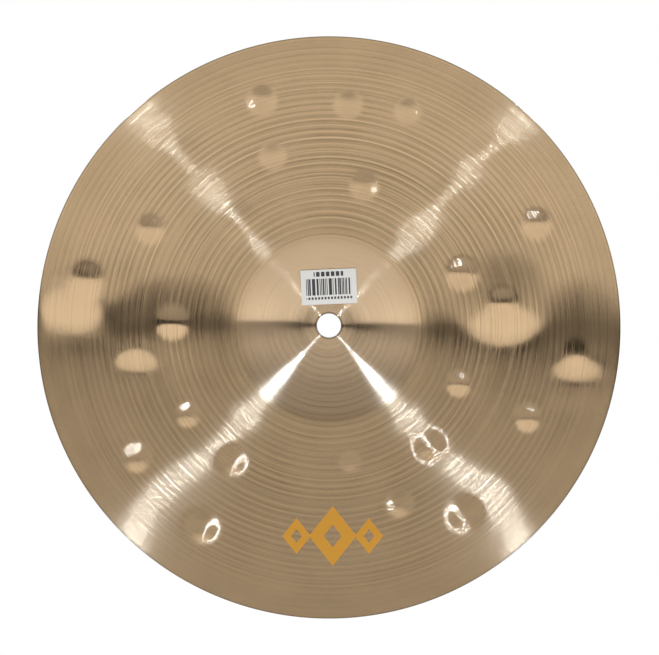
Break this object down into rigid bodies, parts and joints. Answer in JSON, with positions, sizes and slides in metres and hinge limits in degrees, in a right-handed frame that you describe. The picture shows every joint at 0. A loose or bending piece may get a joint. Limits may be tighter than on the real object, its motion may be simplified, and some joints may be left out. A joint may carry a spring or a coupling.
{
  "type": "splash cymbal",
  "caption": "Thin round bronze splash cymbal with a domed bell, a spindle hole, a lathed and hammered bow and a small paper label inside the bell.",
  "frame": {"origin": "centre of the rim's plane, straight below the spindle hole, so that the rim lies on Z = 0", "axes": "+Z along the cymbal's axis, from the rim up to the crown of the bell; -Y towards the side of the bell that holds the label"},
  "size_m": [0.3048, 0.3048, 0.0274],
  "materials": {
    "bronze": "lathed cymbal bronze with fine tonal grooves and a thin clear lacquer",
    "paper": "coated white label paper with black bars"
  },
  "bodies": {
    "root": {"cymbal": "bronze", "paper_label": "paper"}
  },
  "joints": []
}
